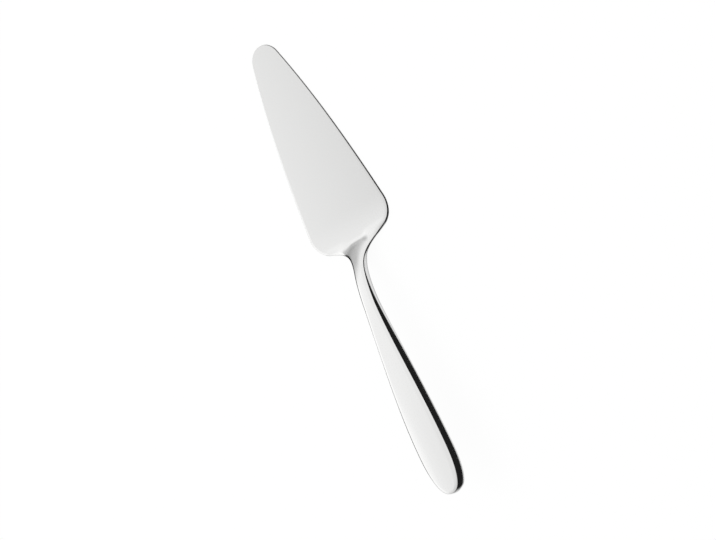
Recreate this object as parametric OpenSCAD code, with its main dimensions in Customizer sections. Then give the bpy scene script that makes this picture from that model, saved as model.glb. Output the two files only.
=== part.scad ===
// Cake server: a thin flat blade with a rounded nose, welded at the neck to a solid forged handle.
// The blade's underside lies on z = 0. X runs from the tip to the handle's end and Y across, and
// places along X are counted from the tip until the finished solids are centred.

/* [Overall] */
// Length in plan, from the tip of the blade to the end of the handle
overall_l = 251.5; // [236:0.5:275]
// Height of the handle's top at its end, over the blade's underside
end_h = 26.4; // [22:0.2:32]
// Distance in plan from the tip to the weld in the neck
weld_x = 129.5; // [128:0.5:134]

/* [Blade] */
// Length in plan of the flat part, from the tip to where the neck starts to rise
flat_l = 111.4; // [108:0.2:113]
// Greatest width, just before the heel
blade_w = 57.5; // [50:0.5:62]
// Radius of the rounded nose
nose_r = 10; // [8:0.25:13]
// How far each side opens just behind the nose, in degrees
nose_flare = 16.5; // [14:0.5:18]
// How far each side still opens just before the heel, in degrees
heel_flare = 8; // [5:0.5:10]
// Radius of the two heel corners
heel_r = 11.7; // [9:0.1:14]
// How far the heel's edges sweep towards the neck, in degrees
heel_sweep = 20; // [16:0.5:24]
// Distance from the tip to where the swept heel edges would meet
heel_x = 120.8; // [119:0.2:123]
// Thickness at the tip
tip_t = 1; // [0.8:0.1:1.5]
// Thickness where the neck starts to rise
blade_t = 1.8; // [1.5:0.1:2.2]

/* [Neck] */
// Length in plan of the bend that turns the flat blade up into the neck
bend_l = 4.4; // [3.6:0.2:6]
// Length in plan over which the steep neck then eases into the handle
ease_l = 34.8; // [30:0.2:42]
// Width at the weld, the narrowest place
neck_w = 7.4; // [6:0.2:9]
// Thickness at the weld, measured upright
neck_t = 4.4; // [3.8:0.1:5.2]

/* [Handle] */
// Greatest width
handle_w = 20.3; // [16:0.1:24]
// Distance from the tip to the handle's widest place
widest_x = 225.5; // [210:0.5:230]
// Thickness at the end, between the crowns of the top and the underside
handle_t = 8.3; // [6:0.1:9]
// Rise of the crowned top over its edges at the widest place
crown_h = 0.7; // [0.2:0.1:1.2]
// Fall of the crowned underside below its edges there
under_h = 0.4; // [0.2:0.1:0.8]

/* [Hidden] */

// Fullness of the handle's end, as the exponent of a superellipse: 2 is an ellipse
end_power = 2.45;
// Radius of the top edge and of the underside's edge, as shares of the thickness there
top_edge_share = 0.09;
under_edge_share = 0.2;
// Place of the fullest line down each side, as a share of the thickness from the top
fullest_share = 0.55;
// How far a side leans in above and below its fullest line, and how far the handle's end does
side_lean_share = 0.03;
end_lean_share = 0.11;
// Slope of the handle, as a share of the neck's, and how late it levels out, as an exponent
handle_slope_share = 0.196;
level_power = 3.13;
// Length of bend before the thickness starts to swell, as a share of the bend
swell_share = 0.25;
// How far the heel's curve follows its swept edge, and then the neck, as shares
heel_pull_share = 0.67;
neck_pull_share = 1;

// Steps along each stretch of the outlines
nose_steps = 10;
side_steps = 14;
corner_steps = 10;
neck_steps = 20;
waist_steps = 26;
end_steps = 16;
// Steps from the middle of a face to its edge: the handle is crowned, the blade flat
handle_steps = 4;
blade_steps = 1;
// Steps round an edge, and the steps that the two edges and the side between them take
edge_angles = [0, 30, 60, 90];
edge_points = 2 * len(edge_angles);

function mix(a, b, u) = a + (b - a) * u;
function smooth(u) = u * u * (3 - 2 * u);
function limit(u) = min(max(u, 0), 1);
function unit(v) = v / norm(v);
function around(centre, r, a) = centre + r * [cos(a), sin(a)];

// Cubic curve from a to b over the run l, with the slopes sa and sb at its ends
function hermite(a, b, sa, sb, l, u) =
    mix(a, b, smooth(u)) + l * u * (1 - u) * (sa * (1 - u) - sb * u);

function bezier(p, t) =
    p[0] * pow(1 - t, 3) + p[1] * 3 * pow(1 - t, 2) * t + p[2] * 3 * (1 - t) * t * t + p[3] * pow(t, 3);

// Upright thickness at x: it grows along the blade, through the neck and along the handle
swell_x = flat_l + swell_share * bend_l;
function thickness(x) =
    x < flat_l ? mix(tip_t, blade_t, x / flat_l)
    : x < weld_x ? mix(blade_t, neck_t, smooth(limit((x - swell_x) / (weld_x - swell_x))))
    : mix(neck_t, handle_t, (x - weld_x) / (overall_l - weld_x));

// Rise of the top at x over the flat blade, for a neck that climbs one to one: the bend turns it up,
// it eases into the handle's own slope, and the handle levels out towards its end
slope_l = overall_l - flat_l - bend_l;
function rise(x) =
    let (bent = limit((x - flat_l) / bend_l),
         past = max(x - flat_l - bend_l, 0),
         eased = limit(past / ease_l),
         bend = bend_l * (pow(bent, 3) - pow(bent, 4) / 2),
         neck = ease_l * (eased - pow(eased, 3) + pow(eased, 4) / 2),
         handle = past * (1 - pow(past / slope_l, level_power) / (level_power + 1)))
    bend + mix(neck, handle, handle_slope_share);

// Height at x of the top and of the underside, along the middle
function top(x) = x < flat_l ? thickness(x) : mix(blade_t, end_h, rise(x) / rise(overall_l));
function under(x) = top(x) - thickness(x);

// Share of the full crown at x for the half width w: it fades in along the handle
function crown_share(x, w) = smooth(limit((x - weld_x) / (widest_x - weld_x))) * pow(2 * w / handle_w, 2);

// Half outline of the blade, from its tip to the weld, as points [x, half width]
corner_y = blade_w / 2 - heel_r;
corner = [heel_x - corner_y * tan(heel_sweep) - heel_r / cos(heel_sweep), corner_y];
nose_line = [for (i = [0:nose_steps])
    around([nose_r, 0], nose_r, mix(180, 90 + nose_flare, i / nose_steps))];
corner_line = [for (i = [0:corner_steps])
    around(corner, heel_r, mix(90 + heel_flare, heel_sweep, i / corner_steps))];
side_a = nose_line[nose_steps];
side_b = corner_line[0];
side_l = side_b[0] - side_a[0];
side_line = [for (i = [1:side_steps - 1]) let (u = i / side_steps)
    [side_a[0] + u * side_l, hermite(side_a[1], side_b[1], tan(nose_flare), tan(heel_flare), side_l, u)]];
heel_p = corner_line[corner_steps];
weld_p = [weld_x, neck_w / 2];
meet_p = [heel_x - weld_p[1] * tan(heel_sweep), weld_p[1]];
neck_curve = [heel_p, mix(heel_p, meet_p, heel_pull_share), mix(weld_p, meet_p, neck_pull_share), weld_p];
neck_line = [for (i = [1:neck_steps]) bezier(neck_curve, i / neck_steps)];
blade_outline = concat(nose_line, side_line, corner_line, neck_line);

// Half outline of the handle, from its end to the weld
function end_point(a) =
    [mix(widest_x, overall_l, pow(cos(a), 2 / end_power)), handle_w / 2 * pow(sin(a), 2 / end_power)];
end_line = [for (i = [0:end_steps]) end_point(90 * pow(i / end_steps, end_power / 2))];
waist_line = [for (i = [1:waist_steps]) let (u = 1 - i / waist_steps)
    [mix(weld_x, widest_x, u), mix(neck_w / 2, handle_w / 2, smooth(u))]];
handle_outline = concat(end_line, waist_line);

// Outward direction of an outline at its point i: along the length at its end, across it at the weld
function outward(line, i, way) =
    let (d = unit(line[min(i + 1, len(line) - 1)] - line[max(i - 1, 0)]))
    i == 0 ? [way, 0] : i == len(line) - 1 ? [0, 1] : way * [d[1], -d[0]];

// Points of a section in from the outline point p: s is the share of the half width
function over(p, d, s, inset, depth, crown) =
    let (x = p[0] - inset * d[0])
    [x, s * (p[1] - inset * d[1]), top(x) - crown * s * s - depth];
function beneath(p, d, s, inset, lift, crown) =
    let (x = p[0] - inset * d[0])
    [x, s * (p[1] - inset * d[1]), under(x) + crown * s * s + lift];

// Half a section, from the middle of the top round the edges to the middle of the underside. Its
// side leans in above and below the fullest line, most where the outline faces the handle's end.
function half_section(p, d, steps, crown, under_crown) =
    let (t = thickness(p[0]),
         lean = t * mix(side_lean_share, end_lean_share, pow(max(d[0], 0), 2)),
         a = top_edge_share * t,
         b = under_edge_share * t)
    concat(
        [for (i = [0:steps - 1]) over(p, d, i / steps, lean + a, 0, crown)],
        [for (g = edge_angles) over(p, d, 1, lean + a * (1 - sin(g)), a * (1 - cos(g)), crown)],
        [over(p, d, 1, 0, fullest_share * t, crown)],
        [for (g = edge_angles)
            beneath(p, d, 1, lean + b * (1 - cos(g)), b * (1 - sin(g)), under_crown)],
        [for (i = [1:steps]) beneath(p, d, 1 - i / steps, lean + b, 0, under_crown)]);

// Solid between its top and its underside, closed round one end and cut flat at the weld.
// way is -1 where the end points along -X, and 1 where it points along +X.
module formed(line, way, steps, crown, under_crown) {
    last = len(line) - 1;
    half = 2 * steps + edge_points;
    ring = 2 * half;
    sections = [for (i = [0:last]) let (p = line[i], share = crown_share(p[0], p[1]))
        half_section(p, outward(line, i, way), steps, crown * share, under_crown * share)];
    end_points = [for (k = [steps:steps + edge_points]) sections[0][k]];
    ring_points = [for (i = [1:last]) each concat(
        sections[i],
        [for (k = [half - 1:-1:1]) let (q = sections[i][k]) [q[0], -q[1], q[2]]])];
    function folded(k) = k <= half ? k : ring - k;
    function index(i, k) =
        i == 0 ? limit((folded(k % ring) - steps) / edge_points) * edge_points
        : len(end_points) + (i - 1) * ring + k % ring;
    function turned(f, sign) = sign < 0 ? f : [f[2], f[1], f[0]];
    skin = [for (i = [0:last - 1], k = [0:ring - 1])
        let (a = index(i, k), b = index(i, k + 1), c = index(i + 1, k + 1), d = index(i + 1, k))
        each concat(a == b ? [] : [turned([a, b, c], way)], [turned([a, c, d], way)])];
    function weld_face(ks, side) =
        turned([for (k = ks) index(last, side > 0 ? k : ring - k)], side * way);
    weld_faces = [for (side = [1, -1]) each concat(
        [for (k = [0:steps - 1]) weld_face([k, k + 1, half - k - 1], side)],
        [for (k = [0:steps - 1]) weld_face([k, half - k - 1, half - k], side)],
        [for (k = [steps + 1:steps + edge_points - 1]) weld_face([steps, k, k + 1], side)])];
    polyhedron([each end_points, each ring_points], [each skin, each weld_faces]);
}

// Puts the origin under the middle of the length
module centred() {
    translate([-overall_l / 2, 0, 0])
        children();
}

module blade() {
    color("gainsboro")
        centred()
            formed(blade_outline, -1, blade_steps, 0, 0);
}

module handle() {
    color("silver")
        centred()
            formed(handle_outline, 1, handle_steps, crown_h, under_h);
}

blade();
handle();
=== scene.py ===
"""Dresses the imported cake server: a steel blade and a polished steel handle, in a plain studio."""

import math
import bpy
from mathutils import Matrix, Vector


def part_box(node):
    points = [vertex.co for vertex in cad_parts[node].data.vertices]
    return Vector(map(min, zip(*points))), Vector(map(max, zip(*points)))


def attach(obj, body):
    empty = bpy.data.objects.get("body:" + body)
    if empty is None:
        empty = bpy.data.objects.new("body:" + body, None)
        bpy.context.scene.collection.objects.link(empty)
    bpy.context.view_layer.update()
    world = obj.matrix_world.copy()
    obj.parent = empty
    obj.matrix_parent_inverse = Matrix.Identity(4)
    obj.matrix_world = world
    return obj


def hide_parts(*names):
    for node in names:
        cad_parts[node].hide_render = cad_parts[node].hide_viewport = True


bl_info = {
    "name": "Cake Server",
    "version": (1, 0, 0),
    "blender": (4, 5, 0),
    "location": "View3D > Sidebar > Cake Server",
    "description": "Builds the steel blade and handle of a cake server in a plain studio",
    "category": "Add Mesh",
}

import bmesh
import bpy
from bpy.props import FloatProperty, FloatVectorProperty, IntProperty, PointerProperty
from bpy.types import Operator, Panel, PropertyGroup
from mathutils import Matrix, Vector

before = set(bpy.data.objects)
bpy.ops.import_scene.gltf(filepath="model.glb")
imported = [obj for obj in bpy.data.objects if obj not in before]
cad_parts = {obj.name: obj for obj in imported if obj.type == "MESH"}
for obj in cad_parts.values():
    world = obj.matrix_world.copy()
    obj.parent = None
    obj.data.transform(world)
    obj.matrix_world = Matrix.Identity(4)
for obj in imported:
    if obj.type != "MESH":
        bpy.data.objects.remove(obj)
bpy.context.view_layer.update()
BLADE_LOW, BLADE_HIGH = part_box("blade")
HANDLE_LOW, HANDLE_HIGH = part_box("handle")

BODY = "root"
# Closer than this, points are one point
MERGE = 1e-6
# Edges shorter than this, where an end closes, are dissolved
SLIVER = MERGE / 10
MM = 0.001
WHITE = (1, 1, 1, 1)


def length(name, description, default):
    return FloatProperty(
        name=name, description=description, default=default, unit="LENGTH", precision=5
    )


def angle(name, description, degrees):
    return FloatProperty(
        name=name, description=description, default=math.radians(degrees), subtype="ANGLE"
    )


def share(name, description, default):
    return FloatProperty(
        name=name, description=description, default=default, min=0.0, max=2.0, subtype="FACTOR"
    )


def exponent(name, description, default):
    return FloatProperty(name=name, description=description, default=default, min=1.0, max=8.0)


def steps(name, description, default):
    return IntProperty(name=name, description=description, default=default, min=1, max=400)


def colour(name, description, *levels):
    return FloatVectorProperty(
        name=name, description=description, default=levels, min=0.0, max=1.0, subtype="COLOR"
    )


def point(name, description, *place):
    return FloatVectorProperty(
        name=name, description=description, default=place, subtype="TRANSLATION"
    )


class ServerForm(PropertyGroup):
    """Sizes of the blade, the neck and the handle. Places along the length count from the tip."""

    # Whole server
    overall_l: length(
        "Length", "From the tip of the blade to the end of the handle", HANDLE_HIGH.x - BLADE_LOW.x
    )
    weld_x: length("Weld", "Place of the weld in the neck", HANDLE_LOW.x - BLADE_LOW.x)
    end_h: length("End height", "Height of the handle's top at its end", HANDLE_HIGH.z)

    # Blade
    blade_w: length("Blade width", "Greatest width of the blade", BLADE_HIGH.y - BLADE_LOW.y)
    nose_r: length("Nose radius", "Radius of the rounded nose", 10 * MM)
    nose_flare: angle("Nose flare", "How far each side opens just behind the nose", 17.2)
    heel_flare: angle("Heel flare", "How far each side still opens just before the heel", 7.6)
    heel_r: length("Heel radius", "Radius of the two heel corners", 11.7 * MM)
    heel_sweep: angle("Heel sweep", "How far the heel's edges sweep towards the neck", 20)
    heel_x: length("Heel", "Where the swept heel edges would meet", 120.8 * MM)
    heel_pull: share("Heel pull", "How far the heel's curve follows its swept edge", 0.67)
    neck_pull: share("Neck pull", "How far the heel's curve follows the neck", 1.0)
    heel_slant: share("Heel slant", "How far the heel's rear edges slant back with depth", 0.38)
    tip_t: length("Tip thickness", "Thickness of the blade at its tip", 1 * MM)
    blade_t: length("Blade thickness", "Thickness where the neck starts to rise", 1.8 * MM)
    flat_l: length("Flat length", "From the tip to where the neck starts to rise", 111.4 * MM)

    # Fold and neck
    fold_x: length("Fold", "Middle of the fold between the blade and the neck", 113.8 * MM)
    bend_l: length("Bend length", "Length in plan of the fold at its middle", 5.0 * MM)
    fold_w: length("Fold half width", "Half width of the middle, where the fold is tight", 4 * MM)
    fold_fade: length("Fold fade", "Width over which the fold softens to each side", 6 * MM)
    fold_spread: length("Fold spread", "How much longer the fold is at its sides", 5 * MM)
    ease_l: length("Ease length", "Length over which the neck eases into the handle", 49.3 * MM)
    ease_power: exponent("Easing", "How early the neck eases towards the handle", 2.56)
    neck_w: length("Neck width", "Width at the weld", 7.4 * MM)
    neck_t: length("Neck thickness", "Upright thickness at the weld", 5.7 * MM)
    swell_l: length("Swell length", "Length over which the neck thickens and is crowned", 13 * MM)
    neck_crown: length("Neck crown", "Rise of the neck's crowned top over its edges", 0.3 * MM)
    neck_crown_l: length("Neck crown length", "How far along the handle it fades out", 40 * MM)

    # Handle
    handle_w: length("Handle width", "Greatest width of the handle", HANDLE_HIGH.y - HANDLE_LOW.y)
    widest_x: length("Widest place", "Place where the handle is widest", 225.5 * MM)
    handle_t: length("Handle thickness", "Thickness at the handle's end", 8.3 * MM)
    swell_power: exponent("Swelling", "How late the handle swells towards its end", 1.6)
    handle_slope: share("Handle slope", "Slope of the handle as a share of the neck's", 0.128)
    level_power: exponent("Levelling", "How late the handle levels out towards its end", 3.45)
    crown_h: length("Crown", "Rise of the crowned top over its edges", 0.7 * MM)
    under_h: length("Under crown", "Fall of the crowned underside below its edges", 0.4 * MM)
    end_l: length("End length", "Length over which the underside curves up to the end", 20 * MM)
    end_lift: length("End lift", "How far the underside curves up there", 2.4 * MM)
    end_power: exponent("End fullness", "Fullness of the end's outline: 2 is an ellipse", 2.45)

    # Edges and sides
    shoulder_x: length("Shoulder", "Where the edges start to turn into the neck's", 113 * MM)
    shoulder_l: length("Shoulder length", "Length over which they turn", 6 * MM)
    settle_l: length("Settling", "Length past the weld until the edges are the handle's", 62 * MM)
    blade_roll: length("Blade roll-off", "Radius of the roll-off of the top at the heel", 5 * MM)
    neck_roll: length("Neck roll-off", "Radius of the roll-off of the neck's top", 4 * MM)
    handle_roll: length("Handle roll-off", "Radius of the roll-off of the handle's top", 5 * MM)
    roll_turn: angle("Roll-off turn", "How far the top turns as it rolls off", 18)
    blade_edge: share("Blade's top edge", "Its radius as a share of the thickness", 0.07)
    neck_edge: share("Neck's top edge", "Its radius as a share of the thickness", 0.12)
    handle_edge: share("Handle's top edge", "Its radius as a share of the thickness", 0.1)
    blade_under: share("Blade's lower edge", "Its radius as a share of the thickness", 0.15)
    neck_under: share("Neck's lower edge", "Its radius as a share of the thickness", 0.32)
    handle_under: share("Handle's lower edge", "Its radius as a share of the thickness", 0.15)
    tip_part: share("Tip parting", "Where down its side the blade is fullest at the tip", 0.56)
    heel_part: share("Heel parting", "Where down its side the blade is fullest at the heel", 0.96)
    neck_part: share("Neck parting", "Where down its side the neck is fullest", 0.1)
    handle_part: share("Handle parting", "Where down its side the handle is fullest", 0.9)
    end_part: share("End parting", "Where down its wall the handle's end is fullest", 0.5)
    blade_lean: share("Blade lean", "How far the blade's sides lean in, over the thickness", 0.05)
    side_lean: share("Side lean", "How far the handle's sides lean in, over the thickness", 0.05)
    end_lean: share("End lean", "How far the handle's end leans in, over the thickness", 0.11)


class ServerSteps(PropertyGroup):
    """How finely the surfaces are divided."""

    nose: steps("Nose", "Steps round the nose", 40)
    side: steps("Side", "Steps along the blade's side", 60)
    corner: steps("Corner", "Steps round a heel corner", 44)
    neck: steps("Neck", "Steps from the heel to the weld", 90)
    waist: steps("Waist", "Steps from the weld to the widest place", 170)
    end: steps("End", "Steps round the handle's end", 72)
    face: steps("Face", "Steps from the middle of a face to its edge", 24)
    roll: steps("Roll-off", "Steps over the roll-off of a top face", 8)
    edge: steps("Edge", "Steps round an edge", 8)
    wall: steps("Wall", "Steps down a side", 12)


def mix(a, b, u):
    return a + (b - a) * u


def smooth(u):
    return u * u * (3 - 2 * u)


def limit(u):
    return min(max(u, 0.0), 1.0)


def around(centre, r, a):
    return centre + r * Vector((math.cos(a), math.sin(a)))


def hermite(a, b, slope_a, slope_b, run, u):
    """Cubic curve from a to b over the run, with the slopes given at its ends."""
    return mix(a, b, smooth(u)) + run * u * (1 - u) * (slope_a * (1 - u) - slope_b * u)


def bezier(p, t):
    s = 1 - t
    return p[0] * s**3 + p[1] * 3 * s * s * t + p[2] * 3 * s * t * t + p[3] * t**3


def bow(height, width):
    """Fall of a crowned face over the square of y, for a crown of that height and width."""
    return height / (width / 2) ** 2


class Form:
    """The shape of the server, worked out from its sizes."""

    def __init__(self, sizes, counts):
        self.s = sizes
        self.n = counts
        self.full_rise = self.rise(sizes.overall_l)

    def rise(self, x, y=0.0):
        """Rise of the top from the flat blade, for a neck that climbs one to one.

        The fold is softer to the sides, so y counts there. The neck's slope eases away, while the
        handle's, which is a share of it, levels out towards the end.
        """
        s = self.s
        bend = s.bend_l + s.fold_spread * smooth(limit((abs(y) - s.fold_w) / s.fold_fade))
        bent = limit((x - s.fold_x) / bend + 0.5)
        past = bend * (bent**3 - bent**4 / 2) + max(x - s.fold_x - bend / 2, 0.0)
        left = max(1 - past / s.ease_l, 0.0)
        neck = s.ease_l * (1 - left ** (s.ease_power + 1)) / (s.ease_power + 1)
        levelled = (past / (s.overall_l - s.fold_x)) ** s.level_power / (s.level_power + 1)
        return mix(neck, past * (1 - levelled), s.handle_slope)

    def blade_thickness(self, x):
        return mix(self.s.tip_t, self.s.blade_t, min(x / self.s.flat_l, 1.0))

    def thickness(self, x):
        """Upright thickness at x, less what the underside curves up at the handle's end."""
        s = self.s
        if x < s.weld_x:
            swelled = smooth(limit((x - s.fold_x) / s.swell_l))
            return mix(self.blade_thickness(x), s.neck_t, swelled)
        along = (x - s.weld_x) / (s.overall_l - s.weld_x)
        rounded = limit(1 - (s.overall_l - x) / s.end_l)
        lifted = s.end_lift * (1 - math.sqrt(1 - rounded * rounded))
        return mix(s.neck_t, s.handle_t, along**s.swell_power) - lifted

    def top(self, x, y):
        """Height of the top at a place, before its edges roll off."""
        s = self.s
        climb = (s.end_h - s.blade_t) * self.rise(x, y) / self.full_rise
        return self.blade_thickness(x) + climb - self.crown(x) * y * y

    def under(self, x, y):
        """Height of the underside: as the top in the fold, flat under the neck, bowed behind it."""
        s = self.s
        bowed = self.crown(x) * self.upright(x) + bow(s.under_h, s.handle_w) * self.spread(x)
        return self.top(x, y) - self.thickness(x) + bowed * y * y

    def spread(self, x):
        """How far the handle has opened at x, from 0 at the weld to 1 at its widest place."""
        s = self.s
        return smooth(limit((x - s.weld_x) / (s.widest_x - s.weld_x)))

    def crown(self, x):
        """How strongly the top is crowned at x: its fall over the square of y."""
        s = self.s
        neck = smooth(limit((x - s.flat_l) / s.swell_l))
        neck -= smooth(limit((x - s.weld_x) / s.neck_crown_l))
        return bow(s.neck_crown, s.neck_w) * neck + bow(s.crown_h, s.handle_w) * self.spread(x)

    def swept(self, x, blade, neck, handle):
        """A size that changes from the blade to the neck, and from there to the handle."""
        s = self.s
        if x < s.weld_x:
            return mix(blade, neck, smooth(limit((x - s.shoulder_x) / s.shoulder_l)))
        return mix(handle, neck, (1 - limit((x - s.weld_x) / s.settle_l)) ** 2)

    def upright(self, x):
        """How far the neck has formed at x, from 0 in the fold to 1 at the weld."""
        s = self.s
        return smooth(limit((x - s.fold_x) / (s.weld_x - s.fold_x)))

    def slant(self, x, facing):
        """How far the heel's rear edge moves back for each depth below the top."""
        return self.s.heel_slant * (1 - self.upright(x)) * smooth(max(facing, 0.0))

    def blade_outline(self):
        """Half outline from the tip to the weld, as points (x, half width)."""
        s, n = self.s, self.n
        corner_y = s.blade_w / 2 - s.heel_r
        corner_x = s.heel_x - corner_y * math.tan(s.heel_sweep) - s.heel_r / math.cos(s.heel_sweep)
        corner = Vector((corner_x, corner_y))
        nose_end, half_turn = math.pi / 2 + s.nose_flare, math.pi
        nose = [
            around(Vector((s.nose_r, 0)), s.nose_r, mix(half_turn, nose_end, i / n.nose))
            for i in range(n.nose + 1)
        ]
        corner_start = math.pi / 2 + s.heel_flare
        bend = [
            around(corner, s.heel_r, mix(corner_start, s.heel_sweep, i / n.corner))
            for i in range(n.corner + 1)
        ]
        a, b = nose[-1], bend[0]
        run = b.x - a.x
        flares = math.tan(s.nose_flare), math.tan(s.heel_flare)
        side = [
            Vector((a.x + i / n.side * run, hermite(a.y, b.y, *flares, run, i / n.side)))
            for i in range(1, n.side)
        ]
        heel, weld = bend[-1], Vector((s.weld_x, s.neck_w / 2))
        meet = Vector((s.heel_x - weld.y * math.tan(s.heel_sweep), weld.y))
        curve = heel, heel.lerp(meet, s.heel_pull), weld.lerp(meet, s.neck_pull), weld
        neck = [bezier(curve, i / n.neck) for i in range(1, n.neck + 1)]
        return nose + side + bend + neck

    def handle_outline(self):
        """Half outline from the handle's end to the weld, as points (x, half width)."""
        s, n = self.s, self.n
        power = 2 / s.end_power

        def end_point(a):
            along = mix(s.widest_x, s.overall_l, math.cos(a) ** power)
            return Vector((along, s.handle_w / 2 * math.sin(a) ** power))

        end = [end_point(math.pi / 2 * (i / n.end) ** (1 / power)) for i in range(n.end)]
        waist = []
        for i in range(n.waist + 1):
            u = 1 - i / n.waist
            half = mix(s.neck_w / 2, s.handle_w / 2, smooth(u))
            waist.append(Vector((mix(s.weld_x, s.widest_x, u), half)))
        return end + waist

    def half_section(self, p, d):
        """Half a section from the middle of the top, round its edges, to that of the underside.

        p is its point of the outline, and d is the direction in which the outline faces there.
        """
        s, n = self.s, self.n
        thick = self.thickness(p.x)
        to_end = max(d.x, 0.0) ** 2 if p.x > s.weld_x else 0.0
        along = min(p.x / s.flat_l, 1.0)
        # A place down the side is a share from its top, and the side is fullest at part
        blade_part = mix(s.tip_part, s.heel_part, along**2)
        part = mix(self.swept(p.x, blade_part, s.neck_part, s.handle_part), s.end_part, to_end)
        side_lean = self.swept(p.x, s.blade_lean, s.side_lean, s.side_lean)
        lean = thick * mix(side_lean, s.end_lean, to_end)
        top_r = thick * self.swept(p.x, s.blade_edge, s.neck_edge, s.handle_edge)
        under_r = thick * self.swept(p.x, s.blade_under, s.neck_under, s.handle_under)
        roll_r = max(self.swept(p.x, s.blade_roll * along, s.neck_roll, s.handle_roll), top_r)
        slant = self.slant(p.x, d.x)
        reach = max(part, 1 - part)

        def inset(q):
            """How far in the side lies at the place q down it."""
            return lean * ((q - part) / reach) ** 2

        def tilt(q):
            """How far the side is turned out of the upright there."""
            return math.atan(2 * lean * (q - part) / (reach * reach * (thick - top_r - under_r)))

        top_turn, under_turn = math.pi / 2 + tilt(0), math.pi / 2 - tilt(1)
        edge_in = inset(0) + top_r * math.sin(top_turn)
        roll_in = edge_in + (roll_r - top_r) * math.sin(s.roll_turn)
        roll_drop = (roll_r - top_r) * (1 - math.cos(s.roll_turn))
        under_in = inset(1) + under_r * math.sin(under_turn)

        def over(inward, across, drop=0.0):
            """A point of the top or its edge, in from the outline and at a share of the width."""
            x, y = p.x - inward * d.x, across * (p.y - inward * d.y)
            return Vector((x + drop * slant - s.overall_l / 2, y, self.top(x, y) - drop))

        def beneath(inward, across, lift=0.0):
            """The same for the underside."""
            x = p.x - inward * d.x + (thick - lift) * slant
            y = across * (p.y - inward * d.y)
            return Vector((x - s.overall_l / 2, y, self.under(x, y) + lift))

        top = [over(roll_in, i / n.face) for i in range(n.face)]
        for i in range(n.roll):
            g = s.roll_turn * i / n.roll
            top.append(over(roll_in - roll_r * math.sin(g), 1, roll_r * (1 - math.cos(g))))
        for i in range(n.edge + 1):
            g = mix(s.roll_turn, top_turn, i / n.edge)
            drop = roll_drop + top_r * (1 - math.cos(g))
            top.append(over(edge_in - top_r * math.sin(g), 1, drop))
        under = []
        for i in range(n.edge + 1):
            g = under_turn * (1 - i / n.edge)
            lift = under_r * (1 - math.cos(g))
            under.append(beneath(under_in - under_r * math.sin(g), 1, lift))
        wall = []
        for i in range(1, n.wall):
            q = i / n.wall
            side = top[-1].lerp(under[0], q)
            out = mix(inset(0), inset(1), q) - inset(q)
            wall.append(side + out * Vector((d.x, d.y, 0)))
        under += [beneath(under_in, 1 - i / n.face) for i in range(1, n.face + 1)]
        return top + wall + under

    def sections(self, outline, way):
        """Half sections along an outline. way is the X direction in which its closed end points."""
        last = len(outline) - 1
        made = []
        for i, p in enumerate(outline):
            run = (outline[min(i + 1, last)] - outline[max(i - 1, 0)]).normalized()
            d = way * Vector((run.y, -run.x))
            if i == 0:
                d = Vector((way, 0))
            if i == last:
                d = Vector((0, 1))
            made.append(self.half_section(p, d))
        return made


def formed_mesh(name, sections):
    """A closed solid: a grid laid over the half sections, mirrored, and closed at the weld."""
    rows, columns = len(sections) - 1, len(sections[0]) - 1
    bm = bmesh.new()
    bmesh.ops.create_grid(bm, x_segments=rows, y_segments=columns, size=1)
    # The grid runs from -1 to 1 both ways, so the place of a vertex gives its row and column
    for v in bm.verts:
        v.co = sections[round((v.co.x + 1) / 2 * rows)][round((v.co.y + 1) / 2 * columns)]
    everything = bm.verts[:] + bm.edges[:] + bm.faces[:]
    bmesh.ops.mirror(bm, geom=everything, axis="Y", merge_dist=MERGE)
    bmesh.ops.remove_doubles(bm, verts=bm.verts, dist=MERGE)
    bmesh.ops.dissolve_degenerate(bm, edges=bm.edges, dist=SLIVER)
    for face in bm.faces:
        face.smooth = True
    rim = [e for e in bm.edges if e.is_boundary]
    for edge in rim:
        edge.smooth = False
    closed = bmesh.ops.holes_fill(bm, edges=rim, sides=0)
    for face in closed["faces"]:
        face.smooth = False
    bmesh.ops.recalc_face_normals(bm, faces=bm.faces)
    mesh = bpy.data.meshes.new(name)
    bm.to_mesh(mesh)
    bm.free()
    return mesh


def in_use(sockets, name):
    """The socket of that name which is in use, where several share the name."""
    return [s for s in sockets if s.name == name and s.enabled][0]


class Signal:
    """One number in a node tree. Arithmetic on it adds Math nodes."""

    def __init__(self, nodes, socket):
        self.nodes = nodes
        self.socket = socket

    def _with(self, operation, *values):
        made = self.nodes.add("ShaderNodeMath", {"operation": operation}, dict(enumerate(values)))
        return made["Value"]

    def __add__(self, other):
        return self._with("ADD", self, other)

    __radd__ = __add__

    def __mul__(self, other):
        return self._with("MULTIPLY", self, other)

    __rmul__ = __mul__

    def __sub__(self, other):
        return self._with("SUBTRACT", self, other)

    def __rsub__(self, other):
        return self._with("SUBTRACT", other, self)

    def ramp(self, start, end, low=0.0, high=1.0):
        """A smooth step from low to high as the number goes from start to end."""
        settings = {"interpolation_type": "SMOOTHSTEP"}
        ends = {"Value": self, "From Min": start, "From Max": end, "To Min": low, "To Max": high}
        return self.nodes.add("ShaderNodeMapRange", settings, ends)["Result"]

    def mixed(self, a, b):
        """a where the number is 0 and b where it is 1."""
        return a + (b - a) * self


class Made:
    """A node that was added. Its outputs are read by name."""

    def __init__(self, nodes, node):
        self.nodes = nodes
        self.node = node

    def __getitem__(self, name):
        return Signal(self.nodes, in_use(self.node.outputs, name))


class Nodes:
    """A node tree that is emptied and then filled."""

    def __init__(self, tree):
        self.tree = tree
        tree.nodes.clear()

    def add(self, kind, settings=None, inputs=None):
        """Adds a node: its settings first, and then the values or links of its sockets."""
        node = self.tree.nodes.new(kind)
        for name, value in (settings or {}).items():
            setattr(node, name, value)
        for name, value in (inputs or {}).items():
            socket = in_use(node.inputs, name) if isinstance(name, str) else node.inputs[name]
            if isinstance(value, Signal):
                self.tree.links.new(value.socket, socket)
            else:
                socket.default_value = value
        return Made(self, node)


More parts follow.
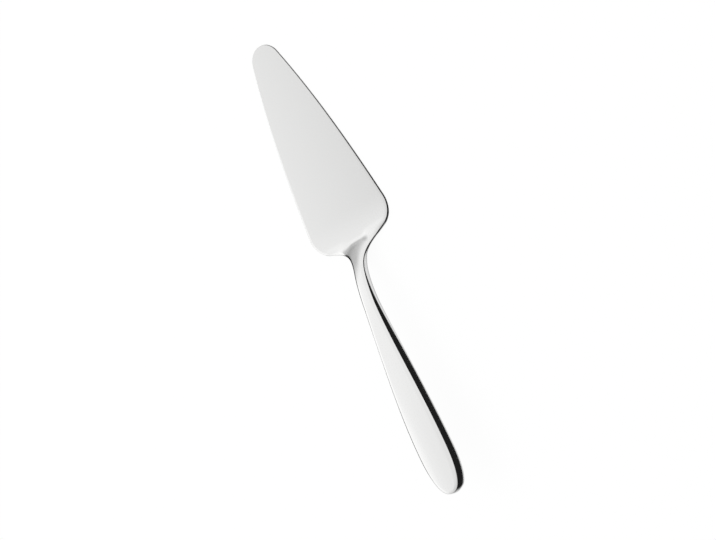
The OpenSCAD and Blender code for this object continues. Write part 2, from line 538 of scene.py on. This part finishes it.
def new_material(name):
    """An empty material, and its nodes."""
    material = bpy.data.materials.new(name)
    material.use_nodes = True
    return material, Nodes(material.node_tree)


class ServerSteel(PropertyGroup):
    """Colours and polish of the steel."""

    blade_colour: colour("Blade", "Colour of the blade's steel", 0.88, 0.88, 0.875)
    # A darker colour that the blade takes towards its tip
    tip_colour: colour("Worn", "Colour of the blade where use has hazed it", 0.79, 0.79, 0.785)
    handle_colour: colour("Handle", "Colour of the handle's polished steel", 0.88, 0.88, 0.875)
    blade_roughness: share("Blade roughness", "Roughness of the blade's steel", 0.16)
    handle_roughness: share("Handle roughness", "Roughness of the handle's steel", 0.09)
    # The darker tip colour is full up to the first place and gone from the second, where the blade
    # has its plain colour
    dark_to_x: length("Worn up to", "Place along the length up to which the haze is full", -30 * MM)
    plain_from_x: length("Clear from", "Place along the length from which the steel is clear", -8 * MM)
    # Painted shade: where the blade takes the darker tip colour, it is also painted lighter towards
    # −Y and darker towards +Y, by this much for each metre across
    painted_side_shade: FloatProperty(
        name="Worn shade", description="How much it darkens over each metre across", default=2.0
    )


def steel(name, paint):
    """A polished steel whose colour and fine finish paint() makes from the object's coordinates."""
    material, nodes = new_material(name)
    place = nodes.add("ShaderNodeTexCoord")["Object"]
    finish = {"Metallic": 1.0, **paint(nodes, place)}
    shader = nodes.add("ShaderNodeBsdfPrincipled", {}, finish)
    nodes.add("ShaderNodeOutputMaterial", {}, {"Surface": shader["BSDF"]})
    return material


def stretched_noise(nodes, place, grains):
    """Noise from 0 to 1, with its own number of grains for each metre in each direction."""
    at = nodes.add("ShaderNodeMapping", {}, {"Vector": place, "Scale": grains})["Vector"]
    look = {"Vector": at, "Scale": 1.0, "Detail": 2.0, "Roughness": 0.5}
    return nodes.add("ShaderNodeTexNoise", {}, look)["Fac"]


# Middle of a noise, and depth of the marks in the steel at full strength
MIDDLE = 0.5
MARK_DEPTH = 0.02 * MM


def polish(nodes, place, roughness, marks, marks_vary, marks_bump, clouds, clouds_vary):
    """Roughness and normal of a polish with fine marks in it and soft clouds over it.

    marks and clouds are the grains of their noise, and each varies the roughness by its amount.
    """
    fine = stretched_noise(nodes, place, marks)
    soft = stretched_noise(nodes, place, clouds)
    bump = {"Height": fine, "Strength": marks_bump, "Distance": MARK_DEPTH}
    return {
        "Roughness": roughness + (soft - MIDDLE) * clouds_vary + (fine - MIDDLE) * marks_vary,
        "Normal": nodes.add("ShaderNodeBump", {}, bump)["Normal"],
    }


def blade_steel(look):
    """Steel that is darker towards the tip, with painted shade there: lighter towards −Y, darker
    towards +Y.
    """

    def paint(nodes, place):
        split = nodes.add("ShaderNodeSeparateXYZ", {}, {"Vector": place})
        # Share of the darker tip colour along the blade, full at the tip and none towards the heel
        tip_share = 1 - split["X"].ramp(look.dark_to_x, look.plain_from_x)
        steels = {"Factor": tip_share, "A": (*look.blade_colour, 1.0), "B": (*look.tip_colour, 1.0)}
        base = nodes.add("ShaderNodeMix", {"data_type": "RGBA"}, steels)["Result"]
        # Painted shade across the blade: lighter towards −Y, darker towards +Y, as strong as the tip
        # colour is there
        shade = 1 - split["Y"] * tip_share * look.painted_side_shade
        with_painted_shade = nodes.add("ShaderNodeHueSaturation", {}, {"Value": shade, "Color": base})["Color"]
        scratched = polish(
            nodes, place, look.blade_roughness,
            marks=(60, 2500, 2500), marks_vary=0.08, marks_bump=0.05,
            clouds=(25, 40, 40), clouds_vary=0.06,
        )
        return {"Base Color": with_painted_shade, **scratched}

    return steel("Blade steel", paint)


def handle_steel(look):
    """Mirror-polished steel with the faint marks of the polishing wheel."""

    def paint(nodes, place):
        wheeled = polish(
            nodes, place, look.handle_roughness,
            marks=(300, 3000, 3000), marks_vary=0.05, marks_bump=0.04,
            clouds=(60, 90, 90), clouds_vary=0.05,
        )
        return {"Base Color": (*look.handle_colour, 1.0), **wheeled}

    return steel("Handle steel", paint)


class Studio(PropertyGroup):
    """The camera, the lamp and the floor."""

    elevation: angle("Elevation", "Height of the camera above the blade's plane", 50)
    azimuth: angle("Azimuth", "Turn of the camera from the side towards the handle's end", 6.7)
    roll: angle("Roll", "Turn of the picture", -27.14)
    distance: length("Distance", "From the camera to what it looks at", 1.0)
    aim: point("Aim", "What the camera looks at", 1.35 * MM, -9.63 * MM, 0)
    lens: FloatProperty(name="Lens", description="Focal length in millimetres", default=96.54)
    sensor: FloatProperty(name="Sensor", description="Its width in millimetres", default=36)

    lamp_place: point("Lamp", "Place of the round softbox", -0.5, -0.7, 1.4)
    lamp_size: length("Lamp size", "Width of the softbox", 1.2)
    lamp_power: FloatProperty(name="Lamp power", description="Power in watts", default=6)
    light_level: share("Light level", "Level of the plain light from all round", 1.0)

    floor_size: length("Floor", "Side of the floor", 8.0)
    floor_drop: length("Floor drop", "Gap between the blade and the floor", 0.05 * MM)
    floor_colour: colour("Floor colour", "Colour of the matt floor", 0.9, 0.9, 0.9)
    floor_shade: share("Floor shade", "How much of the shadow the floor keeps", 0.06)


# What the steel mirrors is a white tent over a table, with a grey card in it and a dark gap below.
# Its levels are given with 1 as white, and its places as parts x, y and z of a direction.
TENT = 0.87
CARD = 0.55
GAP = 0.014
# Brighter bands down the far side: where each starts and where it is full, and what it adds
BANDS = ((-0.42, -0.52, 0.06), (-0.55, -0.76, 0.05), (-0.7, -0.82, 0.13))


def tent(x, y):
    """Level of the tent, which is a little brighter beyond the tip and duller past the handle."""
    level = TENT
    for start, full, gain in BANDS:
        level = level + y.ramp(start, full) * gain
    beyond_tip = x.ramp(-0.4, 0.0, 0.06, -0.02)
    past_handle = x.ramp(0.1, 0.5) * 0.17
    return level + beyond_tip - past_handle


def card(x, y, z):
    """Where the card stands: low on the far side, beyond the tip."""
    low = (z - 0.2 * (y + 0.63)).ramp(0.55, 0.25)
    far = x.ramp(-0.35, -0.55) * y.ramp(-0.45, -0.65) * y.ramp(-0.95, -0.85)
    return low * far


def gap(x, y, z):
    """Level of the gap, which is grey low down and far off on the handle's side."""
    grey = z.ramp(-0.36, -0.48) * 0.6 + y.ramp(-0.55, -0.72) * 0.35
    return GAP + y.ramp(0.15, -0.45) * x.ramp(0.0, 0.1) * grey


def hem(x, y):
    """How far the tent's lower edge is raised: on the far side, but not right beyond the tip."""
    return x.ramp(-0.85, -0.6) * (y.ramp(-0.5, -0.7) * 0.08 + y.ramp(-0.78, -0.9) * 0.1)


def table(y):
    """Level of the table, which is darkest straight below and brightest on the far side."""
    return y.ramp(0.05, 0.5, 0.45, 0.82) + y.ramp(0.0, -0.3) * 0.45


def mirrored(x, y, z):
    """Level of what the steel mirrors in a direction."""
    inside = card(x, y, z).mixed(tent(x, y), CARD)
    above = (z - hem(x, y)).ramp(-0.06, 0.0).mixed(gap(x, y, z), inside)
    return z.ramp(-0.79, -0.765).mixed(table(y), above)


def add_object(name, data):
    made = bpy.data.objects.new(name, data)
    bpy.context.scene.collection.objects.link(made)
    return made


def add_piece(name, mesh, material, node):
    mesh.materials.append(material)
    piece = add_object(name, mesh)
    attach(piece, BODY)
    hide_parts(node)
    return piece


class SERVER_OT_blade(Operator):
    """Builds the blade, with the root of the neck."""

    bl_idname = "cake_server.blade"
    bl_label = "Blade"

    def execute(self, context):
        scene = context.scene
        form = Form(scene.server_form, scene.server_steps)
        mesh = formed_mesh("server_blade", form.sections(form.blade_outline(), -1))
        add_piece("server_blade", mesh, blade_steel(scene.server_steel), "blade")
        return {"FINISHED"}


class SERVER_OT_handle(Operator):
    """Builds the solid handle, with the upper part of the neck."""

    bl_idname = "cake_server.handle"
    bl_label = "Handle"

    def execute(self, context):
        scene = context.scene
        form = Form(scene.server_form, scene.server_steps)
        mesh = formed_mesh("server_handle", form.sections(form.handle_outline(), 1))
        add_piece("server_handle", mesh, handle_steel(scene.server_steel), "handle")
        return {"FINISHED"}


class SERVER_OT_studio(Operator):
    """Builds the floor, the light and the camera."""

    bl_idname = "cake_server.studio"
    bl_label = "Studio"

    def execute(self, context):
        scene = context.scene
        studio = scene.server_studio
        self.add_floor(studio)
        self.add_world(scene, studio)
        self.add_lamp(studio)
        self.add_camera(scene, studio)
        scene.view_settings.view_transform = "Standard"
        return {"FINISHED"}

    def add_floor(self, studio):
        """A floor that looks white, and lights the object as matt paint of its own colour does."""
        bm = bmesh.new()
        bmesh.ops.create_grid(bm, x_segments=1, y_segments=1, size=studio.floor_size / 2)
        bmesh.ops.translate(bm, verts=bm.verts, vec=(0, 0, -studio.floor_drop))
        mesh = bpy.data.meshes.new("floor")
        bm.to_mesh(mesh)
        bm.free()
        floor = add_object("floor", mesh)
        floor.visible_glossy = False
        material, nodes = new_material("Pale floor")
        ray = nodes.add("ShaderNodeLightPath")
        shown = ray["Is Camera Ray"] + ray["Is Glossy Ray"] + ray["Is Transmission Ray"]
        white = nodes.add("ShaderNodeEmission", {}, {"Color": WHITE, "Strength": 1.0})
        matt = nodes.add("ShaderNodeBsdfDiffuse", {}, {"Color": (*studio.floor_colour, 1.0)})
        shaders = {0: shown * (1 - studio.floor_shade), 1: matt["BSDF"], 2: white["Emission"]}
        floor_shader = nodes.add("ShaderNodeMixShader", {}, shaders)
        nodes.add("ShaderNodeOutputMaterial", {}, {"Surface": floor_shader["Shader"]})
        mesh.materials.append(material)

    def add_world(self, scene, studio):
        """Plain light from all round, and for mirrored rays the tent and the table instead."""
        world = bpy.data.worlds.new("Studio")
        scene.world = world
        world.use_nodes = True
        nodes = Nodes(world.node_tree)
        direction = nodes.add("ShaderNodeTexCoord")["Generated"]
        split = nodes.add("ShaderNodeSeparateXYZ", {}, {"Vector": direction})
        ray = nodes.add("ShaderNodeLightPath")
        around_steel = mirrored(split["X"], split["Y"], split["Z"])
        level = ray["Is Glossy Ray"].mixed(studio.light_level, around_steel)
        light = nodes.add("ShaderNodeBackground", {}, {"Color": WHITE, "Strength": level})
        nodes.add("ShaderNodeOutputWorld", {}, {"Surface": light["Background"]})

    def add_lamp(self, studio):
        """A softbox that faces the object and isn't mirrored in it."""
        lamp = bpy.data.lights.new("softbox", "AREA")
        lamp.shape = "DISK"
        lamp.size = studio.lamp_size
        lamp.energy = studio.lamp_power
        softbox = add_object("softbox", lamp)
        place = Vector(studio.lamp_place)
        softbox.location = place
        softbox.rotation_mode = "QUATERNION"
        softbox.rotation_quaternion = (-place).to_track_quat("-Z", "Y")
        softbox.visible_glossy = False

    def add_camera(self, scene, studio):
        e, a = studio.elevation, studio.azimuth
        back = Vector((math.cos(e) * math.sin(a), math.cos(e) * math.cos(a), math.sin(e)))
        right = Vector((-1, 0, 0)).cross(back).normalized()
        up = back.cross(right)
        turned = Matrix((right, up, back)).transposed() @ Matrix.Rotation(studio.roll, 3, "Z")
        data = bpy.data.cameras.new("camera")
        data.sensor_width = studio.sensor
        data.lens = studio.lens
        camera = add_object("camera", data)
        camera.matrix_world = Matrix.LocRotScale(
            Vector(studio.aim) + back * studio.distance, turned.to_quaternion(), None
        )
        scene.camera = camera


class SERVER_PT_panel(Panel):
    """Lists the pieces of the server."""

    bl_idname = "SERVER_PT_panel"
    bl_label = "Cake Server"
    bl_space_type = "VIEW_3D"
    bl_region_type = "UI"
    bl_category = "Cake Server"

    def draw(self, context):
        for operator in PIECES:
            self.layout.operator(operator.bl_idname)


PIECES = (SERVER_OT_blade, SERVER_OT_handle, SERVER_OT_studio)
GROUPS = {
    "server_form": ServerForm,
    "server_steps": ServerSteps,
    "server_steel": ServerSteel,
    "server_studio": Studio,
}


def register():
    for group in GROUPS.values():
        bpy.utils.register_class(group)
    for name, group in GROUPS.items():
        setattr(bpy.types.Scene, name, PointerProperty(type=group))
    for shown in (*PIECES, SERVER_PT_panel):
        bpy.utils.register_class(shown)


def unregister():
    for shown in (SERVER_PT_panel, *reversed(PIECES)):
        bpy.utils.unregister_class(shown)
    for name, group in GROUPS.items():
        delattr(bpy.types.Scene, name)
        bpy.utils.unregister_class(group)


def main():
    register()
    bpy.ops.cake_server.blade()
    bpy.ops.cake_server.handle()
    bpy.ops.cake_server.studio()


if __name__ == "__main__":
    main()
